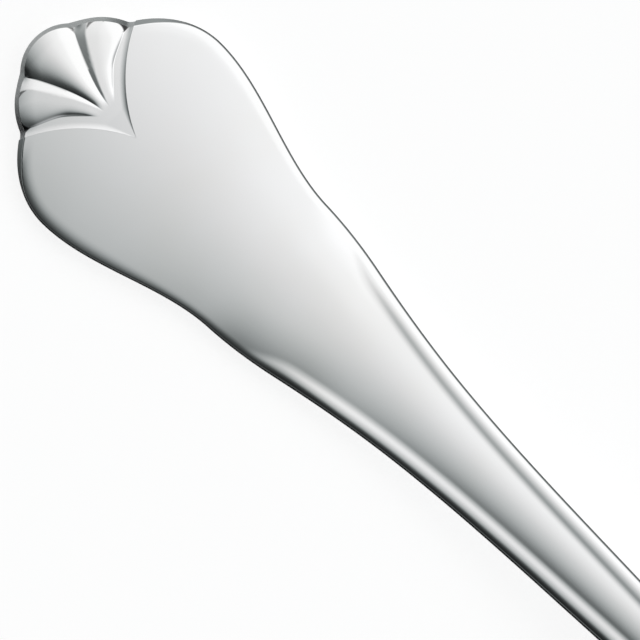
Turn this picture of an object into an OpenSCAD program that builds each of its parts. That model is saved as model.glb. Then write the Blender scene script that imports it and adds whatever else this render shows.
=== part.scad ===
// Sugar spoon made up of four hard-soldered pieces: a forged handle, a cast fan-shaped shell let into
// the handle's end, a raised bowl, and a drop under the neck that bridges the scarf joint of bowl and stem.
// The spoon lies bowl up on the plane z = 0. X runs from the fan's tip to the front of the bowl, Y runs
// across, and the origin is on that plane under the middle of the length.
// In the functions, at is the distance from the fan's tip along the length, and y is the distance from
// the middle line.

/* [Overall] */
// Length from the tip of the fan to the front of the bowl
overall_length = 140; // [132:1:155]

/* [Paddle] */
// Widest width of the paddle, the broad end of the handle
paddle_width = 21; // [18:0.5:24]
// Distance from the fan's tip to the widest place of the paddle
paddle_widest_at = 11.3; // [10.5:0.1:13]
// Width at the waist, where the paddle passes into the stem
waist_width = 14.1; // [12:0.1:16]
// Distance from the fan's tip to the waist
waist_at = 27; // [25:0.5:30]
// Thickness of the paddle along its middle line
paddle_thickness = 2.3; // [2.1:0.1:3]
// Fall of the paddle's face from its middle line to its widest edge
paddle_crown = 0.35; // [0.1:0.05:0.5]
// Width of the band beside the paddle's edge in which the face rolls over
roll_width = 1.4; // [1:0.1:2]
// Depth of that roll at the paddle's edge
roll_depth = 0.09; // [0.05:0.01:0.2]
// Radius of the rounded corners around the rim of handle and bowl
rim_radius = 0.3; // [0.15:0.05:0.4]
// Length over which the bevel around the paddle's end runs out behind the V
end_bevel_length = 6.5; // [4:0.5:8]
// Fall of that bevel beside the V
end_bevel_drop = 0.36; // [0.2:0.02:0.4]
// Length of the flat under the handle's end that lies on the table
rest_length = 24; // [18:0.5:25]

/* [Stem] */
// Narrowest width of the stem
stem_width = 5.2; // [4.8:0.1:6.5]
// Thickness of the stem along its middle line
stem_thickness = 3.2; // [2.8:0.1:4]
// Fall of the stem's face from its middle line to its edge
stem_crown = 0.42; // [0.2:0.02:0.6]
// Fall of the stem's underside from its middle line to its edge
under_crown = 0.9; // [0.3:0.05:1.1]
// Length of the bend that lifts the handle off the table behind the flat
rise_bend_length = 51; // [44:1:52]
// Length of the bend that arches the stem over towards the bowl
arch_bend_length = 17; // [14:1:20]
// Straight length of the neck between the arch and the bowl
neck_length = 3; // [1:0.5:6]

/* [Thread edges] */
// Width of the raised thread along each edge of the stem, from the edge to the valley beside it
thread_width = 1.45; // [1.2:0.05:1.6]
// Distance from the edge to the thread's crest
thread_crest_set = 0.75; // [0.6:0.05:0.9]
// Radius of the thread's rounded back
thread_radius = 6; // [4:0.25:8]
// Width of the thread where it begins
thread_start_width = 2; // [1.6:0.1:2.2]
// Depth of the valley beside the thread where it begins
thread_start_dip = 0.03; // [0:0.01:0.06]
// Softness of the valley between the thread and the face
thread_blend = 0.05; // [0.02:0.01:0.1]
// Width of the band beside the stem's edge in which the thread rolls over
stem_roll_width = 0.8; // [0.7:0.1:1.4]
// Distance from the fan's tip to the place where the threads begin to rise out of the face
thread_start_at = 25; // [22:0.5:27]
// Length over which the threads rise to their full height
thread_fade_length = 23; // [15:0.5:26]
// Length over which the threads sink into the face again ahead of the bowl
thread_end_length = 7; // [5:0.5:8]

/* [Fan shell] */
// Length by which the fan stands out past the rounded end of the paddle
fan_overhang = 3; // [2.5:0.1:3.5]
// Distance from the rounded end of the paddle to the shoulders where the fan meets its edge
fan_shoulder_set = 1.75; // [1.5:0.05:2]
// Radius of the middle lobe's end
lobe_radius = 4.1; // [3.8:0.1:4.4]
// Distance from the fan's tip to the notches beside the middle lobe
lobe_notch_at = 1.4; // [1.2:0.05:1.6]
// Bulge of each side lobe's end past a straight line between its notches
lobe_bulge = 0.5; // [0.4:0.05:0.7]
// Roundness of the outline in the notches beside the middle lobe
notch_blend = 0.8; // [0.3:0.1:1.2]
// Roundness of the outline at the shoulders
shoulder_blend = 0.3; // [0.2:0.1:0.8]
// Distance from the fan's tip to the place where the lobes end
lobe_focus_at = 8.7; // [8:0.1:9.2]
// Distance from the axis to the grooves beside the middle lobe where the lobes end
groove_end_half = 0.3; // [0.2:0.05:0.4]
// Width of the fan's border between the side lobes and the V
border_width = 1.05; // [0.9:0.05:1.2]
// Width of the border at the shoulders
border_end_width = 0.6; // [0.5:0.05:0.9]
// Length over which the border widens behind the shoulders
border_taper_length = 1.8; // [1.2:0.1:2.4]
// Height of the middle lobe's crest over the border
middle_lobe_height = 0.53; // [0.48:0.01:0.6]
// Fall of the middle lobe from its crest to the grooves beside it
middle_lobe_crown = 0.27; // [0.22:0.01:0.32]
// Height of the side lobes' crests over the border
side_lobe_height = 0.42; // [0.36:0.01:0.48]
// Length over which the lobes run out at the place where they end
lobe_fade_length = 1.5; // [0.8:0.1:2]
// Width of the band in which the lobes round over at their ends
lobe_roll_width = 1.3; // [0.8:0.1:1.6]
// Depth of that rounding at the ends of the lobes
lobe_roll_depth = 0.05; // [0.02:0.01:0.12]
// Depth of the dip at the notch between two lobes
notch_depth = 0.18; // [0.1:0.02:0.3]
// Radius of that dip
notch_reach = 1; // [0.6:0.1:1.4]
// Width of the bevelled ledge of the handle that shows around the ends of the lobes
fan_margin = 0.45; // [0.3:0.05:0.5]
// Fall of that ledge from the lobes to its outer edge
ledge_drop = 0.38; // [0.2:0.02:0.45]
// Distance from the shoulders back to the ends of the V on the paddle's edge
vee_set = 0.3; // [0.2:0.05:0.4]
// Length of the V-shaped border from its ends to its point on the axis
vee_length = 6.85; // [6.5:0.05:7.5]
// Bulge of each side of the V towards the fan
vee_bulge = 0.87; // [0.7:0.01:1]
// Depth to which the fan's border dips below the paddle's face beside the V
vee_step = 0.05; // [0.03:0.01:0.1]
// Width over which the border dips
vee_ramp_width = 0.5; // [0.4:0.05:0.8]
// Half the width of the V at which the dip begins to run out towards its point
vee_taper_half = 1.5; // [1:0.1:2]
// Height of the fan's seat above the table
seat_height = 1.2; // [1:0.05:1.3]

/* [Bowl] */
// Length of the bowl from the neck to its front
bowl_length = 45; // [42:0.5:48]
// Width of the bowl
bowl_width = 34; // [31:0.5:37]
// Length from the bowl's deepest and widest place to its front
bowl_front_length = 24; // [22:0.5:25]
// Depth of the hollow at its deepest place
bowl_depth = 7; // [6:0.25:8]
// Thickness of the bowl's wall, measured upright
bowl_wall = 1.3; // [1.1:0.1:1.6]
// Rise of the rim from the deepest place back to the neck
rear_sheer = 1.2; // [0.8:0.1:1.5]
// Rise of the rim from the deepest place to the front
front_sheer = 0.5; // [0:0.1:0.8]
// Length ahead of the neck at which the stem's flaring sides have run into the bowl's rim
flare_length = 5; // [4:0.25:7]
// Thickness of the neck where it meets the bowl
neck_thickness = 2.8; // [2.6:0.1:3.4]
// Length of the thickened heel under the back of the bowl
heel_length = 12; // [9:0.5:14]

/* [Drop under the neck] */
// Length of the drop ahead of the neck, under the bowl
drop_front_length = 12; // [9:0.5:13]
// Length of the drop behind the neck, under the stem
drop_rear_length = 13; // [12:0.5:15]
// Width of the drop's rounded front
drop_width = 7.6; // [6.5:0.1:8.5]
// Width of the drop's rear end under the stem
drop_rear_width = 2.4; // [2:0.1:3]
// Thickness of the drop along its middle line
drop_thickness = 0.9; // [0.7:0.05:1.1]
// Thickness left at the drop's edges
drop_edge = 0.25; // [0.2:0.05:0.3]

/* [Joints] */
// Gap that the solder fills between the pieces
solder_gap = 0.05; // [0.03:0.01:0.1]
// Distance from the neck back to the middle of the scarf joint
scarf_set = 8.5; // [8:0.25:9.5]
// Length of the scarf joint along the spoon
scarf_run = 4; // [3:0.25:4.5]

/* [Hidden] */
silver = [0.78, 0.79, 0.80];
neck_at = overall_length - bowl_length;
deep_at = overall_length - bowl_front_length;
bowl_rear_length = bowl_length - bowl_front_length;
stem_span = neck_at - waist_at;
scarf_at = neck_at - scarf_set;
// The stem's taper from the waist to its narrowest place: where along the stem, how much of the
// waist's extra width is left there, and how fast it falls
taper_shares = [
    [0, 1, -0.6],
    [0.103, 0.793, -3.2],
    [0.265, 0.382, -1.76],
    [0.574, 0.088, -0.64],
    [0.868, 0, 0]
];
waist_slope = taper_shares[0][2] * (waist_width - stem_width) / 2 / stem_span;
// Place of the stem's narrowest width
narrow_at = waist_at + stem_span * taper_shares[len(taper_shares) - 1][0];
// Place where the flaring neck has run into the bowl's rim
flare_at = neck_at + flare_length;
// Powers of the bowl's outline: slimmer towards the neck, and a plain ellipse at the front
rear_power = 0.72;
front_power = 0.5;
// Softness of the bowl's inner edge at the neck
dish_soft_share = 0.15;
// Points of the fan's outline: the notch beside the middle lobe, the shoulder, and the end and the
// point of the V
shoulder_at = fan_overhang + fan_shoulder_set;
vee_at = shoulder_at + vee_set;
lobe_notch = [lobe_notch_at, sqrt(2 * lobe_radius * lobe_notch_at - pow(lobe_notch_at, 2))];
shoulder = [shoulder_at, paddle_end_half(shoulder_at)];
vee_point = [vee_at + vee_length, 0];
side_lobe = arc_through(lobe_notch, shoulder, lobe_bulge);
vee_side = arc_through([vee_at, paddle_end_half(vee_at)], vee_point, -vee_bulge);
// Side view of the handle: the places of its two bends and the slope of the stem between them
rise_bend = [rest_length, rest_length + rise_bend_length];
arch_bend = [neck_at - neck_length - arch_bend_length, neck_at - neck_length];
neck_slope = -2 * rear_sheer / bowl_rear_length;
stem_slope = (rim_z(neck_at) - paddle_thickness - neck_slope * (neck_at - mean(arch_bend)))
    / (mean(arch_bend) - mean(rise_bend));
// How finely the surfaces are divided
end_angle = 5;
rim_steps = 2;
inner_steps = 4;
bowl_steps = 9;
lean_tries = 3;
lobe_steps = 7;
border_steps = 4;
drop_steps = 7;
tip_rows = 7;
side_lobe_rows = 10;
paddle_end_rows = 9;
paddle_rows = 14;
thread_start_rows = 14;
stem_rows = 24;
vee_rows = 16;
neck_rows = 9;
drop_rows = 24;
bowl_turn = 3.5;
drop_turn = 10;
// Points of the handle's cross-sections beside the thread's valley, as shares of the thread's width
valley_shares = [0.8, 1, 1.2, 1.5];
// Largest share of the half-width that those points take up
inset_share = 0.75;
// Shares of the width left beside a groove between which the fan's points follow that groove
groove_low_share = 0.2;
groove_high_share = 0.9;
// Power of the roll at the edges: larger is flatter inside and steeper at the edge
roll_power = 2.5;
// Power that bows the grooves beside the middle lobe towards the axis
groove_power = 1.4;
// Power of the lobes' fall along the fan: larger holds their height longer
swell_power = 1.4;
// Place of a side lobe's crest between its grooves
side_crest_share = 0.28;
// Powers of a side lobe's fall from its crest to the outer groove: at its end, and where the lobes end
side_end_power = 1.3;
side_focus_power = 5.9;
// Width of a side lobe's flank beside the middle lobe, as a share of the distance to the lobes' end
flank_share = 0.19;
// Share of the dip beside the V that is left at its point
vee_point_share = 0.05;

function mean(pair) = (pair[0] + pair[1]) / 2;

function limited(t) = max(0, min(1, t));

// Smooth step from 0 to 1 between two places
function ease(low, high, at) =
    let (t = limited((at - low) / (high - low)))
    t * t * t * (10 + t * (6 * t - 15));

// Height gained beyond a smooth bend from level to a slope of 1
function bend_z(bend, at) =
    let (span = bend[1] - bend[0], t = limited((at - bend[0]) / span))
    span * (pow(t, 3) - pow(t, 4) / 2) + max(0, at - bend[1]);

// Curve between two stations, each given as place, value and slope
function curve(from, to, at) =
    let (span = to[0] - from[0], t = (at - from[0]) / span)
    from[1] * (1 + 2 * t) * pow(1 - t, 2) + to[1] * t * t * (3 - 2 * t)
    + span * (from[2] * t * pow(1 - t, 2) - to[2] * t * t * (1 - t));

// The same along a list of such stations
function along(list, at, i = 0) =
    i == len(list) - 1 ? list[i][1]
    : at <= list[i + 1][0] ? curve(list[i], list[i + 1], at)
    : along(list, at, i + 1);

// Arc between two points that bulges away from the axis, or towards it if the bulge is negative:
// its centre, its radius and its side
function arc_through(from, to, bulge) =
    let (
        chord = norm(to - from),
        side = sign(bulge),
        radius = (chord * chord / 4 + bulge * bulge) / (2 * abs(bulge)),
        across = [to[1] - from[1], from[0] - to[0]] / chord,
        outward = across[1] > 0 ? across : -across,
        centre = (from + to) / 2 - side * outward * (radius - abs(bulge))
    )
    [centre, radius, side];

// Distance of an arc from the axis, with the arc moved in by a margin
function arc_half(arc, at, margin = 0) =
    let (radius = arc[1] - margin * arc[2], run = at - arc[0][0])
    abs(run) < radius ? arc[0][1] + arc[2] * sqrt(radius * radius - run * run)
    : arc[2] < 0 ? arc[0][1]
    : 0;

// The larger of two values, with a soft passage from one to the other
function upper(first, second, blend) =
    max(first, second) + pow(max(0, blend - abs(first - second)), 2) / (4 * blend);

// Outline of the spoon, as half its width
function middle_lobe_half(at, margin = 0) =
    at < lobe_radius ? sqrt(max(0, pow(lobe_radius - margin, 2) - pow(lobe_radius - at, 2))) : 0;

function paddle_end_half(at, margin = 0) =
    let (place = (paddle_widest_at - at) / (paddle_widest_at - fan_overhang - margin))
    (paddle_width / 2 - margin) * sqrt(max(0, 1 - place * place));

// Two parts of the outline joined by a rounded notch
function joined_half(first, second, blend) =
    min(first, second) <= 0 ? max(first, second) : upper(first, second, blend);

function end_half(at) =
    let (lobes = joined_half(middle_lobe_half(at), arc_half(side_lobe, at), notch_blend))
    joined_half(lobes, paddle_end_half(at), shoulder_blend);

function blade_half(at) =
    at < waist_at
    ? curve([paddle_widest_at, paddle_width / 2, 0], [waist_at, waist_width / 2, waist_slope], at)
    : (stem_width + (waist_width - stem_width) * along(taper_shares, (at - waist_at) / stem_span)) / 2;

function bowl_place(at) = (at - deep_at) / (at < deep_at ? bowl_rear_length : bowl_front_length);

function bowl_power(at) = at < deep_at ? rear_power : front_power;

function bowl_half(at) = bowl_width / 2 * pow(max(0, 1 - pow(bowl_place(at), 2)), bowl_power(at));

// Slope of the bowl's outline behind its widest place
function bowl_slope(at) =
    let (place = bowl_place(at))
    -bowl_width * rear_power * pow(1 - place * place, rear_power - 1) * place / bowl_rear_length;

function flare_half(at) =
    curve([narrow_at, stem_width / 2, 0], [flare_at, bowl_half(flare_at), bowl_slope(flare_at)], at);

function half_width(at) =
    at < paddle_widest_at ? end_half(at)
    : at < narrow_at ? blade_half(at)
    : at < flare_at ? flare_half(at)
    : bowl_half(at);

function fan_half(at) =
    min(
        max(
            middle_lobe_half(at, fan_margin),
            arc_half(side_lobe, at, fan_margin),
            paddle_end_half(at, fan_margin)
        ),
        arc_half(vee_side, at) - solder_gap
    );

// Grooves of the fan: beside the middle lobe, and between the side lobes and the border along the V
function inner_groove(at) =
    groove_end_half + (lobe_notch[1] - groove_end_half)
    * pow(max(0, lobe_focus_at - at) / (lobe_focus_at - lobe_notch_at), groove_power);

function outer_groove(at) =
    let (tapered = 1 - ease(shoulder_at, shoulder_at + border_taper_length, at))
    arc_half(vee_side, at, border_width + (border_end_width - border_width) * tapered);

// Side view: height of the middle line of the face
function rim_z(at) =
    bowl_depth + bowl_wall + (at < deep_at ? rear_sheer : front_sheer) * pow(bowl_place(at), 2);

function top_line(at) =
    at < neck_at
    ? paddle_thickness + stem_slope * bend_z(rise_bend, at)
        + (neck_slope - stem_slope) * bend_z(arch_bend, at)
    : rim_z(at);

function middle_thickness(at) =
    paddle_thickness + (stem_thickness - paddle_thickness) * ease(waist_at, arch_bend[0], at)
    + (neck_thickness - stem_thickness) * ease(arch_bend[0], neck_at, at);

// Share of the section that already has the bowl's shape
function in_bowl(at) = ease(neck_at - thread_end_length, neck_at + thread_end_length, at);

// Depth of the hollow as a share of its greatest depth
function dish_share(at, y) =
    let (
        run = 1 - pow(bowl_place(at), 2),
        t = sign(run) * pow(abs(run), 2 * bowl_power(at)) - pow(2 * y / bowl_width, 2)
    )
    (t + sqrt(t * t + pow(dish_soft_share, 2))) / (1 + sqrt(1 + pow(dish_soft_share, 2)));

// Share of the bevel that runs on from the fan's ledge around the paddle's end
function at_end(at) = 1 - ease(vee_at, vee_at + end_bevel_length, at);

function end_bevel(at, inset) =
    end_bevel_drop / fan_margin * max(0, fan_margin * at_end(at) - inset);

function rounded_rim(inset, radius) =
    inset >= radius ? 0 : radius - sqrt(pow(radius, 2) - pow(radius - max(0, inset), 2));

function crown_half(at) = at < paddle_widest_at ? paddle_width / 2 : half_width(at);

function crown_fall(at) =
    paddle_crown + (stem_crown - paddle_crown) * ease(waist_at, arch_bend[0], at);

// Smooth face of paddle and stem, without edges and grooves
function face_z(at, y) =
    top_line(at) - bowl_depth * dish_share(at, y)
    - crown_fall(at) * (1 - in_bowl(at)) * pow(y / crown_half(at), 2);

// Fall of the face towards the edge, narrower on the stem than on the paddle
function roll_z(at, inset) =
    let (
        width = roll_width + (stem_roll_width - roll_width) * ease(paddle_widest_at, waist_at, at),
        depth = roll_depth * width / roll_width * (1 - in_bowl(at)) * (1 - at_end(at))
    )
    depth * pow(1 - limited(inset / width), roll_power);

// How far the threads have grown from their start to their full shape, and their width there
function thread_grown(at) = ease(thread_start_at, thread_start_at + thread_fade_length, at);

function thread_width_at(at) =
    thread_start_width + (thread_width - thread_start_width) * thread_grown(at);

// Face of the stem with a thread along each edge, a long hump that rises out of a shallow valley
function threaded_z(at, y) =
    let (
        grown = thread_grown(at),
        kept = 1 - ease(neck_at - 2 * thread_end_length, neck_at - thread_end_length, at),
        width = thread_width_at(at),
        crest_set = width * thread_crest_set / thread_width,
        inset = half_width(at) - abs(y),
        hump = (pow(width - crest_set, 2) - pow(inset - crest_set, 2)) / (2 * thread_radius),
        face = face_z(at, y),
        thread = upper(face, face_z(at, half_width(at) - width) + hump, thread_blend),
        valley = pow(1 - pow(max(-1, min(1, inset / width - 1)), 2), 2)
    )
    face + grown * kept * (thread - face) - 4 * thread_start_dip * grown * (1 - grown) * valley;

// Distance from the ends of the fan's lobes
function lobe_end_inset(at, off) =
    off < inner_groove(at)
    ? lobe_radius - fan_margin - norm([min(at - lobe_radius, 0), off])
    : side_lobe[1] - fan_margin - norm([at, off] - side_lobe[0]);

// Top of the handle: around the fan the slope of the bevelled ledge, then the face
function top_z(at, y) =
    let (inset = half_width(at) - abs(y))
    at < vee_at
    ? seat_height + ledge_drop / fan_margin * lobe_end_inset(at, abs(y))
    : threaded_z(at, y) - roll_z(at, inset) - end_bevel(at, inset)
        - rounded_rim(inset, rim_radius * (1 - at_end(at)));

function wall_thickness(at, y) =
    let (
        bar = middle_thickness(at)
            - under_crown * ease(rest_length, arch_bend[0], at) * pow(y / half_width(at), 2),
        heel = (neck_thickness - bowl_wall) * (1 - ease(neck_at, neck_at + heel_length, at))
            * pow(1 - pow(limited(abs(y) / drop_width), 2), 2)
    )
    bar + (bowl_wall + heel - bar) * in_bowl(at);

function bottom_z(at, y) =
    top_line(at) - bowl_depth * dish_share(at, y) - wall_thickness(at, y)
    + rounded_rim(half_width(at) - abs(y), rim_radius);

// The cross-sections lean over near the scarf joint, so that its two faces are flat and slanted
function lean(at) =
    scarf_run / neck_thickness * ease(scarf_at - scarf_set, scarf_at, at)
    * (1 - ease(scarf_at, scarf_at + scarf_set, at));

function middle_z(at) = top_line(at) - bowl_depth * dish_share(at, 0) - middle_thickness(at) / 2;

function surface_z(at, y, on_top) = on_top ? top_z(at, y) : bottom_z(at, y);

function surface_point(at, y, on_top, z, tries = lean_tries) =
    let (leaned_at = at + lean(at) * (z - middle_z(at)))
    tries == 0 || lean(at) == 0
    ? [leaned_at, y, z]
    : surface_point(at, y, on_top, surface_z(leaned_at, y, on_top), tries - 1);

// Distances from the edge at which the sections of the handle and the bowl have points
function rim_insets(radius) = [for (k = [0 : rim_steps]) radius * (1 - cos(90 * k / rim_steps))];

function handle_insets(at) =
    let (width = thread_width_at(at))
    concat(
        rim_insets(rim_radius + (fan_margin - rim_radius) * at_end(at)),
        [width * thread_crest_set / thread_width],
        width * valley_shares
    );

// Places across a section, from edge to edge, with points at the given distances from the edges
function places(half, insets, steps) =
    let (
        last = insets[len(insets) - 1],
        scale = min(1, inset_share * half / last),
        inner = half - last * scale,
        right = concat(
            [for (k = [0 : steps - 1]) inner * k / steps],
            [for (k = [len(insets) - 1 : -1 : 0]) half - insets[k] * scale]
        )
    )
    concat([for (k = [len(right) - 1 : -1 : 1]) -right[k]], right);

// Closed ring of points around a cross-section: over the top and back along the bottom
function ring(at, ys) =
    concat(
        [for (y = ys) surface_point(at, y, true, top_z(at, y))],
        [for (k = [len(ys) - 1 : -1 : 0]) surface_point(at, ys[k], false, bottom_z(at, ys[k]))]
    );

// Skin over a row of rings, closed by a flat cap at each end
module loft(rings) {
    count = len(rings[0]);
    last = (len(rings) - 1) * count;
    skin = [for (i = [0 : len(rings) - 2], j = [0 : count - 1])
        let (
            a = i * count + j,
            b = i * count + (j + 1) % count,
            on_left = j < count / 4 || j >= count * 3 / 4
        )
        each on_left
            ? [[a, b, b + count], [a, b + count, a + count]]
            : [[a, b, a + count], [b, b + count, a + count]]];
    first_cap = [for (j = [0 : count / 2 - 2])
        each [[j, count - 1 - j, count - 2 - j], [j, count - 2 - j, j + 1]]];
    last_cap = [for (face = first_cap) [last + face[0], last + face[2], last + face[1]]];
    polyhedron(points = [for (points = rings) each points], faces = concat(skin, first_cap, last_cap));
}

// Evenly spaced stations, without the last one
function stations(from, to, steps) = [for (k = [0 : steps - 1]) from + (to - from) * k / steps];

// Stations that crowd together towards a rounded end
function end_stations(from, to, steps) =
    let (reach = acos(1 - (to - from) / lobe_radius))
    [for (k = [0 : steps - 1]) from + lobe_radius * (1 - cos(end_angle + (reach - end_angle) * k / steps))];

handle_stations = concat(
    end_stations(0, lobe_notch_at, tip_rows),
    stations(lobe_notch_at, shoulder_at, side_lobe_rows),
    [shoulder_at, vee_at - solder_gap],
    stations(vee_at, paddle_widest_at, paddle_end_rows),
    stations(paddle_widest_at, thread_start_at, paddle_rows),
    stations(thread_start_at, thread_start_at + thread_fade_length, thread_start_rows),
    stations(thread_start_at + thread_fade_length, scarf_at, stem_rows),
    [scarf_at]
);

fan_stations = concat(
    end_stations(fan_margin, lobe_notch_at, tip_rows),
    stations(lobe_notch_at, vee_at, side_lobe_rows),
    stations(vee_at, vee_point[0], vee_rows)
);

bowl_stations = concat(
    stations(scarf_at + solder_gap, neck_at, neck_rows),
    [for (turn = [0 : bowl_turn : 90 - bowl_turn]) deep_at - bowl_rear_length * cos(turn)],
    [for (turn = [0 : bowl_turn : 90 - end_angle]) deep_at + bowl_front_length * sin(turn)],
    [deep_at + bowl_front_length * cos(end_angle / 2), deep_at + bowl_front_length * cos(end_angle / 4)]
);

// The cut for the fan's seat: everything before the V and above the seat
module fan_seat() {
    reach = paddle_width;
    side = [for (at = stations(shoulder_at - fan_margin, vee_point[0], vee_rows))
        [at, arc_half(vee_side, at)]];
    translate([0, 0, seat_height])
        linear_extrude(height = paddle_width)
            polygon(concat(
                side,
                [vee_point],
                [for (k = [len(side) - 1 : -1 : 0]) [side[k][0], -side[k][1]]],
                [[side[0][0], -reach], [-reach, -reach], [-reach, reach], [side[0][0], reach]]
            ));
}

// From distances along the spoon to the part's own frame
module placed() {
    translate([-overall_length / 2, 0, 0])
        children();
}

module handle() {
    color(silver)
        placed()
            difference() {
                loft([for (at = handle_stations)
                    ring(at, places(half_width(at), handle_insets(at), inner_steps))]);
                fan_seat();
            }
}

// Share of the way from the notches to the place where the lobes end
function along_fan(at) = limited((at - lobe_notch_at) / (lobe_focus_at - lobe_notch_at));

// Height of the lobes over the fan's border, as if they kept their full height along the fan
function lobe_relief(at, off) =
    let (
        inner = inner_groove(at),
        outer = outer_groove(at),
        flank_depth = side_lobe_height - (middle_lobe_height - middle_lobe_crown),
        flank = limited((off - inner) / (flank_share * (lobe_focus_at - at))),
        across = (off - inner) / (outer - inner),
        fall = max(0, across - side_crest_share) / (1 - side_crest_share),
        power = side_end_power + (side_focus_power - side_end_power) * pow(along_fan(at), 2)
    )
    off < inner ? middle_lobe_height - middle_lobe_crown * pow(off / inner, 2)
    : off < outer ? side_lobe_height * (1 - pow(fall, power)) - flank_depth * (1 - flank)
    : 0;

function fan_top_z(at, y) =
    let (
        off = abs(y),
        swell = (1 - pow(along_fan(at), swell_power))
            * (1 - ease(lobe_focus_at - lobe_fade_length, lobe_focus_at, at)),
        lobes = at < lobe_focus_at ? swell * lobe_relief(at, off) : 0,
        inside_vee = norm([at, off] - vee_side[0]) - vee_side[1],
        taper = max(vee_point_share, min(1, arc_half(vee_side, at) / vee_taper_half)),
        dip = vee_step * taper * (1 - pow(1 - limited(inside_vee / (vee_ramp_width * taper)), 2)),
        on_lobe = 1 - limited((off - outer_groove(at)) / border_width),
        rolled = pow(1 - limited(lobe_end_inset(at, off) / lobe_roll_width), 2),
        ends = lobe_roll_depth * on_lobe * rolled,
        notch = notch_depth * pow(1 - limited(norm([at, off] - lobe_notch) / notch_reach), 2)
    )
    face_z(at, y) + lobes - dip - ends - notch;

// Place of a groove, held between two places across the fan
function held_groove(groove, low, high) =
    max(low + groove_low_share * (high - low), min(low + groove_high_share * (high - low), groove));

// Places across the fan, with points along the grooves between the lobes
function fan_places(at) =
    let (
        half = max(fan_half(at), solder_gap),
        inner = held_groove(inner_groove(at), 0, half),
        outer = held_groove(outer_groove(at), inner, half),
        right = concat(
            [for (k = [0 : lobe_steps - 1]) inner * k / lobe_steps],
            [for (k = [0 : lobe_steps - 1]) inner + (outer - inner) * k / lobe_steps],
            [for (k = [0 : border_steps]) outer + (half - outer) * k / border_steps]
        )
    )
    concat([for (k = [len(right) - 1 : -1 : 1]) -right[k]], right);

function fan_ring(at) =
    let (ys = fan_places(at))
    concat(
        [for (y = ys) [at, y, fan_top_z(at, y)]],
        [for (k = [len(ys) - 1 : -1 : 0]) [at, ys[k], seat_height]]
    );

module fan_shell() {
    color(silver)
        placed()
            loft([for (at = fan_stations) fan_ring(at)]);
}

module bowl() {
    color(silver)
        placed()
            loft([for (at = bowl_stations)
                ring(at, places(half_width(at), rim_insets(rim_radius), bowl_steps))]);
}

// Outline of the drop: a rounded front under the bowl and a slim rear end under the stem
drop_round_at = neck_at + drop_front_length - drop_width / 2;

function drop_half(at) =
    at > drop_round_at
    ? sqrt(max(0, pow(drop_width / 2, 2) - pow(at - drop_round_at, 2)))
    : min(
        half_width(at) - 2 * rim_radius,
        curve([neck_at - drop_rear_length, drop_rear_width / 2, 0], [drop_round_at, drop_width / 2, 0], at)
    );

function drop_ring(at) =
    let (
        half = drop_half(at),
        swell = ease(neck_at - drop_rear_length, neck_at, at)
            * (1 - pow(limited((at - drop_round_at) / (drop_width / 2)), 2)),
        ys = [for (k = [-drop_steps : drop_steps]) half * sin(90 * k / drop_steps)],
        tops = [for (y = ys) bottom_z(at, y) - solder_gap],
        depths = [for (y = ys) drop_edge + (drop_thickness - drop_edge) * swell * (1 - pow(y / half, 2))]
    )
    concat(
        [for (k = [0 : len(ys) - 1]) [at, ys[k], tops[k]]],
        [for (k = [len(ys) - 1 : -1 : 0]) [at, ys[k], tops[k] - depths[k]]]
    );

drop_stations = concat(
    stations(neck_at - drop_rear_length, drop_round_at, drop_rows),
    [for (turn = [0 : drop_turn : 90 - drop_turn]) drop_round_at + drop_width / 2 * sin(turn)],
    [drop_round_at + drop_width / 2 * cos(end_angle)]
);

module bowl_drop() {
    color(silver)
        placed()
            loft([for (at = drop_stations) drop_ring(at)]);
}

handle();
fan_shell();
bowl();
bowl_drop();
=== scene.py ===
import math

import bmesh
import bpy
import numpy as np
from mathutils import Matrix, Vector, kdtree


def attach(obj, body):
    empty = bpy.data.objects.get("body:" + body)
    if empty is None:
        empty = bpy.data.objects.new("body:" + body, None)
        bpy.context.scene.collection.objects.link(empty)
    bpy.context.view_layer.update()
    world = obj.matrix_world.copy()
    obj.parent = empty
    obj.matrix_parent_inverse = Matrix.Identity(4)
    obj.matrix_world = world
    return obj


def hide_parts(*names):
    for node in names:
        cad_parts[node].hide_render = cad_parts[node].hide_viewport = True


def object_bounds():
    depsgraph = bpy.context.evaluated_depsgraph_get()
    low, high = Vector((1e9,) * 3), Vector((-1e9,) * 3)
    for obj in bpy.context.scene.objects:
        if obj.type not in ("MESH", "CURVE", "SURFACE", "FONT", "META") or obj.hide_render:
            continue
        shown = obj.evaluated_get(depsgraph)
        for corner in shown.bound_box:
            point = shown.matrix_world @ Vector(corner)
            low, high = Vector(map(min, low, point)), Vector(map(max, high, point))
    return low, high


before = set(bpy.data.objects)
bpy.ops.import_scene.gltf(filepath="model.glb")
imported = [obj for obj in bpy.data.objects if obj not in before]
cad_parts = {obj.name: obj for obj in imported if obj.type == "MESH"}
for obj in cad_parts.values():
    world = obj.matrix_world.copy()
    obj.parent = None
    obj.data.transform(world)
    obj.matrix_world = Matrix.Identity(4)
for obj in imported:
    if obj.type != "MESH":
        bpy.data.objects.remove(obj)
cad_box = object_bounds()

# Sizes of the spoon in millimetres. The main ones are those of the solids, and the relief of the face is
# finer here. Distances called at run from the fan's tip along the spoon, and y is the distance from its
# middle line.
MM = 0.001
overall_length = 140.0

# Paddle
paddle_width = 21.0
paddle_widest_at = 11.3
waist_width = 14.1
waist_at = 27.0
paddle_thickness = 2.3
paddle_crown = 0.35
roll_width = 1.4
stem_roll_width = 0.8
roll_depth = 0.09
roll_power = 2.5
roll_start_length = 2.0
rim_radius = 0.3
edge_bevel_width = 0.16
edge_bevel_slope = 0.85
end_bevel_slope = 0.72
end_bevel_length = 4.2
rest_length = 24.0

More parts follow.
